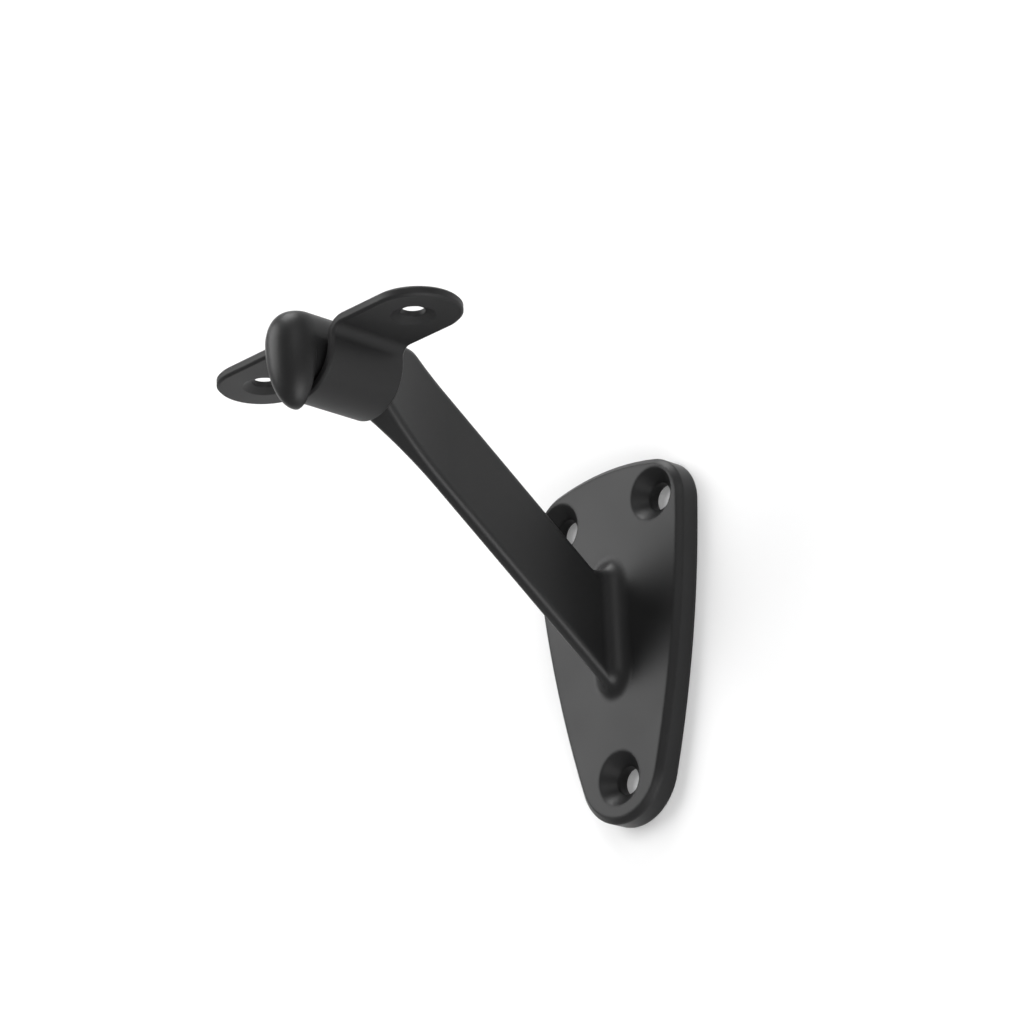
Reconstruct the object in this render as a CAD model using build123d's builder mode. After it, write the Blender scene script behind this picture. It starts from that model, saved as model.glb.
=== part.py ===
from build123d import *
from math import asin, atan2, cos, hypot, sqrt, tan
import os

# Handrail bracket: a casting that screws to the wall and a strap that holds
# the rail down on the end of it. Lengths are in millimetres. X runs along the
# rail, Y points into the wall and Z points up. The origin is the middle of
# the wall plate's back face.

# Wall plate, wide at the top and narrow at the foot
plate_width = 36.8
plate_height = 64.9
plate_thickness = 4.5
crown_radius = 53.0
side_radius = 204.0
plate_corner_radius = 8.2
foot_radius = 10.0
plate_edge_break = 1.0

# Countersunk wall holes, two under the crown and one in the foot
wall_hole_diameter = 5.0
wall_countersink_diameter = 9.7
wall_countersink_angle = 90
upper_hole_side_inset = 6.85
upper_hole_top_inset = 7.95
foot_hole_inset = 7.9

# Rail seat, measured from the wall and from the plate's middle
rail_offset = 66.5
seat_height = 43.1

# Barrel, with a flat top for the rail and a round underside for the strap
barrel_width = 10.2
barrel_height = 12.5
barrel_belly_height = 7.0
seat_width = 3.4

# Arm: a thin slab that flares into a collar behind the strap
arm_thickness = 2.8
arm_depth = 14.85
arm_edge_flat = 0.6
arm_root_fillet = 2.4
shoulder_setback = 7.9
shoulder_rounding = 4.0
flare_length = 15.0
collar_width = 7.2

# Nose, which hangs below the barrel like an egg on its narrow end
nose_drop = 4.2
nose_setback = 1.3
neck_length = 1.0

# Strap: a sheet U under the barrel with a round-ended ear on each side
strap_length = 54.6
strap_width = 15.8
strap_thickness = 1.8
strap_bend_radius = 1.8
strap_wall_flat = 0.2
strap_edge_break = 0.4
strap_clearance = 0.1
strap_side_gap = 1.0
clamp_allowance = 2.3

# Countersunk rail screw holes in the ears
rail_hole_spacing = 37.8
rail_hole_diameter = 4.2
rail_countersink_diameter = 7.6
rail_countersink_angle = 130

# Places along the arm
strap_rear_y = strap_width / 2 - rail_offset
strap_front_y = strap_rear_y - strap_width
collar_y = strap_rear_y + strap_clearance
flare_start_y = collar_y + flare_length
nose_back_y = strap_front_y - neck_length
nose_axis_y = strap_front_y - nose_setback

# Levels of the barrel and the strap
barrel_bottom_z = seat_height - barrel_height
barrel_belly_z = barrel_bottom_z + barrel_belly_height
nose_tip_z = barrel_bottom_z - nose_drop
strap_inner_radius = barrel_width / 2 + strap_side_gap
strap_middle_radius = strap_inner_radius + strap_thickness / 2
strap_centre_z = barrel_bottom_z - strap_clearance + strap_inner_radius
strap_bottom_z = strap_centre_z - strap_inner_radius - strap_thickness
ear_top_z = seat_height - clamp_allowance
ear_middle_z = ear_top_z - strap_thickness / 2
ear_bottom_z = ear_top_z - strap_thickness

# The bends under the ears leave a straight wall above the U
strap_wall_height = ear_middle_z - strap_centre_z - strap_wall_flat
bend_middle_radius = min(strap_bend_radius + strap_thickness / 2, strap_wall_height)

# The arm's centre line starts in the middle of the plate's front, and its top
# edge reaches the seat's level a setback behind the strap
shoulder_y = strap_rear_y + shoulder_setback
shoulder_run = -plate_thickness - shoulder_y
shoulder_reach = hypot(shoulder_run, seat_height)
arm_angle = atan2(seat_height, shoulder_run) - asin(arm_depth / 2 / shoulder_reach)
arm_half_height = arm_depth / 2 / cos(arm_angle)
arm_edge_rounding = (arm_thickness - arm_edge_flat) / 2
arm_root_y = -plate_thickness / 2


def side_disc_centre():
    """Centre of the disc that is tangent to a corner's circle and to the foot's circle."""
    corner_x = plate_width / 2 - plate_corner_radius
    crown_reach = crown_radius - plate_corner_radius
    corner_z = plate_height / 2 - crown_radius + sqrt(crown_reach**2 - corner_x**2)
    foot_z = foot_radius - plate_height / 2
    corner_reach = side_radius - plate_corner_radius
    foot_reach = side_radius - foot_radius
    distance = hypot(corner_x, corner_z - foot_z)
    along = (corner_reach**2 - foot_reach**2 + distance**2) / (2 * distance)
    across = sqrt(corner_reach**2 - along**2)
    run_x = -corner_x / distance
    run_z = (foot_z - corner_z) / distance
    return corner_x + along * run_x + across * run_z, corner_z + along * run_z - across * run_x


def arm_line_z(y):
    """Height of the arm's centre line."""
    return (-plate_thickness - y) * tan(arm_angle)


def half_egg(bottom_z):
    """Right half of an egg that is flat at the seat's level and narrows to its bottom."""
    half_width = barrel_width / 2
    with BuildSketch() as egg:
        with BuildLine():
            Polyline((half_width, barrel_belly_z), (0, barrel_belly_z), (0, bottom_z))
            EllipticalCenterArc(
                (0, barrel_belly_z),
                half_width,
                barrel_belly_z - bottom_z,
                start_angle=270,
                arc_size=90,
            )
        make_face()
        with BuildLine():
            Polyline(
                (seat_width / 2, seat_height),
                (0, seat_height),
                (0, barrel_belly_z),
                (half_width, barrel_belly_z),
            )
            EllipticalCenterArc(
                (seat_width / 2, barrel_belly_z),
                half_width - seat_width / 2,
                seat_height - barrel_belly_z,
                arc_size=90,
            )
        make_face()
    return egg.sketch_local


# The arm: its side view and its plan, cut to each other
with BuildPart() as arm:
    with BuildSketch(Plane.YZ) as side_view:
        with BuildLine():
            Polyline(
                (arm_root_y, arm_line_z(arm_root_y) + arm_half_height),
                (shoulder_y, seat_height),
                (collar_y, seat_height),
                (collar_y, arm_line_z(collar_y) - arm_half_height),
                (arm_root_y, arm_line_z(arm_root_y) - arm_half_height),
                close=True,
            )
        make_face()
        top_corners = side_view.vertices().group_by(Axis.Y)[-1]
        fillet(top_corners.sort_by(Axis.X)[-1], shoulder_rounding)
    extrude(amount=collar_width, both=True)
    with BuildSketch() as plan:
        with BuildLine():
            TangentArc((arm_thickness / 2, flare_start_y), (collar_width / 2, collar_y), tangent=(0, -1))
            Polyline(
                (collar_width / 2, collar_y),
                (0, collar_y),
                (0, arm_root_y),
                (arm_thickness / 2, arm_root_y),
                (arm_thickness / 2, flare_start_y),
            )
        make_face()
        mirror(about=Plane.YZ)
    extrude(amount=plate_height, both=True, mode=Mode.INTERSECT)
    long_edges = arm.edges().filter_by(Axis.X, reverse=True).filter_by(Axis.Z, reverse=True)
    fillet(long_edges, arm_edge_rounding)

# The casting: plate, arm, barrel and nose
side_x, side_z = side_disc_centre()
with BuildPart() as bracket:
    with BuildSketch(Plane.XZ) as plate_outline:
        with Locations((0, plate_height / 2 - crown_radius)):
            Circle(crown_radius)
        with Locations((side_x, side_z)):
            Circle(side_radius, mode=Mode.INTERSECT)
        with Locations((-side_x, side_z)):
            Circle(side_radius, mode=Mode.INTERSECT)
        fillet(plate_outline.vertices().group_by(Axis.Y)[-1], plate_corner_radius)
        fillet(plate_outline.vertices().group_by(Axis.Y)[0], foot_radius)
    extrude(amount=plate_thickness)
    chamfer(bracket.faces().sort_by(Axis.Y)[0].edges(), plate_edge_break)
    add(arm.part)
    plate_front = bracket.faces().filter_by(Axis.Y).sort_by(Axis.Y)[-2]
    fillet(plate_front.inner_wires()[0].edges(), arm_root_fillet)

    with BuildSketch(Plane.XZ.offset(-collar_y)):
        add(half_egg(barrel_bottom_z))
        mirror(about=Plane.YZ)
    extrude(amount=collar_y - nose_back_y)
    with BuildSketch(Plane.XZ.offset(-nose_back_y)):
        add(half_egg(nose_tip_z))
        mirror(about=Plane.YZ)
    extrude(amount=nose_back_y - nose_axis_y)
    with BuildSketch(Plane.XZ.offset(-nose_axis_y)):
        add(half_egg(nose_tip_z))
    revolve(axis=Axis((0, nose_axis_y, 0), (0, 0, -1)), revolution_arc=180)

    upper_hole_x = plate_width / 2 - upper_hole_side_inset
    upper_hole_z = plate_height / 2 - upper_hole_top_inset
    with Locations(Plane.XZ.offset(plate_thickness)):
        with Locations(
            (-upper_hole_x, upper_hole_z),
            (upper_hole_x, upper_hole_z),
            (0, foot_hole_inset - plate_height / 2),
        ):
            CounterSinkHole(
                wall_hole_diameter / 2,
                wall_countersink_diameter / 2,
                counter_sink_angle=wall_countersink_angle,
            )

# The strap, bent from one strip whose ends are rounded in plan
with BuildPart() as rail_strap:
    with BuildSketch(Plane.XZ.offset(-strap_rear_y)):
        with BuildLine():
            CenterArc((0, strap_centre_z), strap_middle_radius, start_angle=270, arc_size=90)
            FilletPolyline(
                (strap_middle_radius, strap_centre_z),
                (strap_middle_radius, ear_middle_z),
                (strap_length, ear_middle_z),
                radius=bend_middle_radius,
            )
            mirror(about=Plane.YZ)
        trace(line_width=strap_thickness)
    extrude(amount=strap_width)
    with BuildSketch(Plane.XY.offset(strap_bottom_z)):
        with Locations((0, -rail_offset)):
            SlotOverall(strap_length, strap_width)
    extrude(amount=ear_top_z - strap_bottom_z, mode=Mode.INTERSECT)
    outline_edges = rail_strap.edges().filter_by(Axis.Y, reverse=True).filter_by(Axis.Z, reverse=True)
    chamfer(outline_edges, strap_edge_break)

    with Locations(Plane((0, -rail_offset, ear_bottom_z), x_dir=(1, 0, 0), z_dir=(0, 0, -1))):
        with GridLocations(rail_hole_spacing, 0, 2, 1):
            CounterSinkHole(
                rail_hole_diameter / 2,
                rail_countersink_diameter / 2,
                depth=strap_thickness,
                counter_sink_angle=rail_countersink_angle,
            )

os.makedirs("parts", exist_ok=True)
bracket.part.label = "bracket"
export_step(bracket.part, "parts/bracket.step")
rail_strap.part.label = "rail_strap"
export_step(rail_strap.part, "parts/rail_strap.step")
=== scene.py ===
import math

import bpy
from mathutils import Matrix, Vector


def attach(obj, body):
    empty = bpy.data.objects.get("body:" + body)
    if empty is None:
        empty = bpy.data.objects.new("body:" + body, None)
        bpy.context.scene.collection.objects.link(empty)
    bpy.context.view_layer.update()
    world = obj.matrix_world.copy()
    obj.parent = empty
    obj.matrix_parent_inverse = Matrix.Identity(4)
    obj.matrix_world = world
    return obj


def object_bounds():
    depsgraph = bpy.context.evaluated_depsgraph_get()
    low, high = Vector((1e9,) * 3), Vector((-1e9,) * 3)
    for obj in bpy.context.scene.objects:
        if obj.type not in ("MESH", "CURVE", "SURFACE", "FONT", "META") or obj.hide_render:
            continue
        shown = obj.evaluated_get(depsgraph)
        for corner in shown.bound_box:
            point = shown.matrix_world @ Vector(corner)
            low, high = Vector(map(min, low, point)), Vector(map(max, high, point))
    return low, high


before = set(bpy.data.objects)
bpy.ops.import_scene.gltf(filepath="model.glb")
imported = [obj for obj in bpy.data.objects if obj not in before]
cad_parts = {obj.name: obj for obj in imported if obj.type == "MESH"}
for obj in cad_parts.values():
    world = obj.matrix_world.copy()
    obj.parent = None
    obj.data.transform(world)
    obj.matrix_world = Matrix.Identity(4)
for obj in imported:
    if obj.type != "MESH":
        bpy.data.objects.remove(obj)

cad_low, cad_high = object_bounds()
centre = (cad_low + cad_high) / 2
scene = bpy.context.scene

# Lengths are in metres. X runs along the rail, Y into the wall and Z up.
across = Vector((1, 0, 0))
into_wall = Vector((0, 1, 0))
out_of_wall = Vector((0, -1, 0))
up = Vector((0, 0, 1))

# Camera, below the head and to the right of it. Roll in degrees, lens and sensor in millimetres.
camera_place = Vector((0.41309, -0.43460, -0.19887))
camera_aim = Vector((0.00661, -0.03388, 0.01580))
camera_roll = -2.698
camera_lens = 126.33
sensor_width = 36.0

# Arm where it leaves the plate, and the round around its root
plate_thickness = 0.0045
arm_slope = math.radians(36.264)
arm_thickness = 0.0028
arm_depth = 0.01485
arm_edge_radius = 0.0011
root_radius = 0.0036
root_sink = 0.0005
root_corner_steps = 8
root_arc_steps = 20

# Powder coat: near-black base, clouds in colour and gloss, and a fine grain
coat_dark = (0.008, 0.008, 0.0082, 1.0)
coat_light = (0.012, 0.012, 0.0123, 1.0)
coat_specular_level = 0.23
coat_roughness_spread = 0.07
coat_seed_step = 7.3
cloud_scale = 90.0
cloud_detail = 4.0
cloud_low = 0.3
cloud_high = 0.7
grain_scale = 2600.0
grain_detail = 3.0
grain_height = 0.000012
grain_strength = 0.3

# Finish of each piece: lowest roughness, and how far the coat softens its edges
casting_roughness = 0.36
casting_edge_radius = 0.0008
strap_roughness = 0.48
strap_edge_radius = 0.0004

# Room: a wall behind the plate, a floor far below and an even light from all around
wall_gap = 0.0002
wall_radius = 0.55
wall_paint = 0.80
wall_glow = 0.12
floor_drop = 1.2
floor_radius = 5.0
floor_paint = 0.65
backdrop_corners = 96
room_colour = (1.0, 1.0, 1.0, 1.0)
room_level = 0.32

# Soft boxes: a large key from the left, a weak fill from the right, one above and one low on
# the right. Directions are seen from the object, power is in watts.
key_direction = Vector((-0.667, -0.657, 0.40))
key_distance = 1.5
key_size = 1.2
key_power = 19.0
fill_direction = Vector((0.66, -0.62, 0.42))
fill_distance = 1.3
fill_size = 0.7
fill_power = 2.8
top_direction = Vector((-0.10, -0.25, 0.95))
top_distance = 1.2
top_size = 0.6
top_power = 9.0
low_direction = Vector((0.65, -0.25, -0.72))
low_distance = 1.2
low_size = 0.9
low_power = 14.0


def arm_root():
    """The round between arm and plate, as the skin of a ball that rolls along their corner."""
    along = Vector((0, -math.cos(arm_slope), math.sin(arm_slope)))
    above = Vector((0, math.sin(arm_slope), math.cos(arm_slope)))
    corner_across = arm_thickness / 2 - arm_edge_radius
    corner_above = arm_depth / 2 - arm_edge_radius
    quarter_turn = math.radians(90)
    points, normals = [], []
    for quarter, (side, level) in enumerate(((1, 1), (-1, 1), (-1, -1), (1, -1))):
        corner = across * side * corner_across + above * level * corner_above
        for step in range(root_corner_steps + 1):
            turn = quarter_turn * (quarter + step / root_corner_steps)
            outward = across * math.cos(turn) + above * math.sin(turn)
            ball = corner + outward * (arm_edge_radius + root_radius)
            ball += along * (ball.y + root_radius) / math.cos(arm_slope)
            for part in range(root_arc_steps + 1):
                touch = into_wall.slerp(-outward, part / root_arc_steps)
                points.append(ball + touch * root_radius)
                normals.append(-touch)
            # One more point, sunk into the metal, closes the section
            foot = corner + outward * arm_edge_radius
            foot += along * foot.y / math.cos(arm_slope)
            points.append(foot + (into_wall - outward) * root_sink)
            normals.append(into_wall)
    section = root_arc_steps + 2
    sections = len(points) // section
    faces = []
    for number in range(sections):
        here, after = number * section, (number + 1) % sections * section
        for part in range(section):
            following = (part + 1) % section
            faces.append((here + part, after + part, after + following, here + following))
    mesh = bpy.data.meshes.new("arm_root")
    mesh.from_pydata([point - into_wall * plate_thickness for point in points], [], faces)
    mesh.polygons.foreach_set("use_smooth", [True] * len(faces))
    mesh.normals_split_custom_set_from_vertices(normals)
    made = bpy.data.objects.new("arm_root", mesh)
    scene.collection.objects.link(made)
    return made


def material(name):
    """A new material, the nodes and links of its tree, and the output as its only node."""
    made = bpy.data.materials.new(name)
    made.use_nodes = True
    nodes = made.node_tree.nodes
    nodes.clear()
    output = nodes.new("ShaderNodeOutputMaterial")
    return made, nodes, made.node_tree.links, output


def noise(nodes, links, place, seed, scale, detail):
    """A cloud texture in the piece's own coordinates."""
    made = nodes.new("ShaderNodeTexNoise")
    made.noise_dimensions = "4D"
    made.inputs["W"].default_value = seed
    made.inputs["Scale"].default_value = scale
    made.inputs["Detail"].default_value = detail
    links.new(place.outputs["Object"], made.inputs["Vector"])
    return made


def powder_coat(name, seed, roughness, edge_radius):
    """Satin black powder coat: fine grain, soft clouds in colour and gloss, softened edges."""
    made, nodes, links, output = material(name)
    shader = nodes.new("ShaderNodeBsdfPrincipled")
    shader.inputs["Specular IOR Level"].default_value = coat_specular_level
    links.new(shader.outputs["BSDF"], output.inputs["Surface"])
    place = nodes.new("ShaderNodeTexCoord")
    grain = noise(nodes, links, place, seed, grain_scale, grain_detail)
    clouds = noise(nodes, links, place, seed, cloud_scale, cloud_detail)

    colour = nodes.new("ShaderNodeMix")
    colour.data_type = "RGBA"
    colour.inputs["A"].default_value = coat_dark
    colour.inputs["B"].default_value = coat_light
    links.new(clouds.outputs["Fac"], colour.inputs["Factor"])
    links.new(colour.outputs["Result"], shader.inputs["Base Color"])

    gloss = nodes.new("ShaderNodeMapRange")
    gloss.inputs["From Min"].default_value = cloud_low
    gloss.inputs["From Max"].default_value = cloud_high
    gloss.inputs["To Min"].default_value = roughness
    gloss.inputs["To Max"].default_value = roughness + coat_roughness_spread
    links.new(clouds.outputs["Fac"], gloss.inputs["Value"])
    links.new(gloss.outputs["Result"], shader.inputs["Roughness"])

    edge = nodes.new("ShaderNodeBevel")
    edge.inputs["Radius"].default_value = edge_radius
    bump = nodes.new("ShaderNodeBump")
    bump.inputs["Strength"].default_value = grain_strength
    bump.inputs["Distance"].default_value = grain_height
    links.new(grain.outputs["Fac"], bump.inputs["Height"])
    links.new(edge.outputs["Normal"], bump.inputs["Normal"])
    links.new(bump.outputs["Normal"], shader.inputs["Normal"])
    return made


def pale_paint(name, paint, glow=0.0):
    """Paint of a backdrop, clear from behind. The paint takes shadows, the glow doesn't."""
    made, nodes, links, output = material(name)
    light = nodes.new("ShaderNodeEmission")
    light.inputs["Strength"].default_value = glow
    diffuse = nodes.new("ShaderNodeBsdfDiffuse")
    diffuse.inputs["Color"].default_value = (paint, paint, paint, 1.0)
    both = nodes.new("ShaderNodeAddShader")
    links.new(light.outputs["Emission"], both.inputs[0])
    links.new(diffuse.outputs["BSDF"], both.inputs[1])
    side = nodes.new("ShaderNodeNewGeometry")
    clear = nodes.new("ShaderNodeBsdfTransparent")
    sided = nodes.new("ShaderNodeMixShader")
    links.new(side.outputs["Backfacing"], sided.inputs["Fac"])
    links.new(both.outputs["Shader"], sided.inputs[1])
    links.new(clear.outputs["BSDF"], sided.inputs[2])
    links.new(sided.outputs["Shader"], output.inputs["Surface"])
    return made


def backdrop(name, radius, place, normal, paint):
    """A flat round stage piece that faces along its normal."""
    bpy.ops.mesh.primitive_circle_add(vertices=backdrop_corners, radius=radius, fill_type="NGON")
    made = bpy.context.object
    made.name = name
    turn = normal.to_track_quat("Z", "Y").to_matrix().to_4x4()
    made.matrix_world = Matrix.Translation(place) @ turn
    made.data.materials.append(paint)


def softbox(name, direction, distance, size, power):
    """A square area lamp that faces the middle of the object."""
    lamp = bpy.data.lights.new(name, "AREA")
    lamp.shape = "SQUARE"
    lamp.size = size
    lamp.energy = power
    made = bpy.data.objects.new(name, lamp)
    made.location = centre + direction.normalized() * distance
    made.rotation_mode = "QUATERNION"
    made.rotation_quaternion = (-direction).to_track_quat("-Z", "Y")
    made.visible_camera = False
    scene.collection.objects.link(made)


finishes = {
    "bracket": (casting_roughness, casting_edge_radius),
    "rail_strap": (strap_roughness, strap_edge_radius),
}
for number, (node, piece) in enumerate(sorted(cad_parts.items())):
    coat = powder_coat(f"{node}_coat", number * coat_seed_step, *finishes[node])
    piece.data.materials.clear()
    piece.data.materials.append(coat)

# The root has its own normals and no edges to soften
root = arm_root()
root.data.materials.append(powder_coat("arm_root_coat", 0.0, casting_roughness, 0.0))
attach(root, "root")

wall_place = Vector((0, cad_high.y + wall_gap, 0))
wall_coat = pale_paint("wall_paint", wall_paint, wall_glow)
backdrop("wall", wall_radius, wall_place, out_of_wall, wall_coat)
floor_place = Vector((0, 0, cad_low.z - floor_drop))
floor_coat = pale_paint("floor_paint", floor_paint)
backdrop("floor", floor_radius, floor_place, up, floor_coat)

world = bpy.data.worlds.new("studio")
world.use_nodes = True
room = world.node_tree.nodes["Background"]
room.inputs["Color"].default_value = room_colour
room.inputs["Strength"].default_value = room_level
scene.world = world

softbox("key", key_direction, key_distance, key_size, key_power)
softbox("fill", fill_direction, fill_distance, fill_size, fill_power)
softbox("top", top_direction, top_distance, top_size, top_power)
softbox("low", low_direction, low_distance, low_size, low_power)

camera = bpy.data.objects.new("camera", bpy.data.cameras.new("camera"))
camera.data.sensor_width = sensor_width
camera.data.lens = camera_lens
camera.location = camera_place
look = (camera_aim - camera_place).to_track_quat("-Z", "Y").to_matrix()
roll = Matrix.Rotation(math.radians(camera_roll), 3, "Z")
camera.rotation_mode = "QUATERNION"
camera.rotation_quaternion = (look @ roll).to_quaternion()
scene.collection.objects.link(camera)
scene.camera = camera
scene.view_settings.view_transform = "Standard"
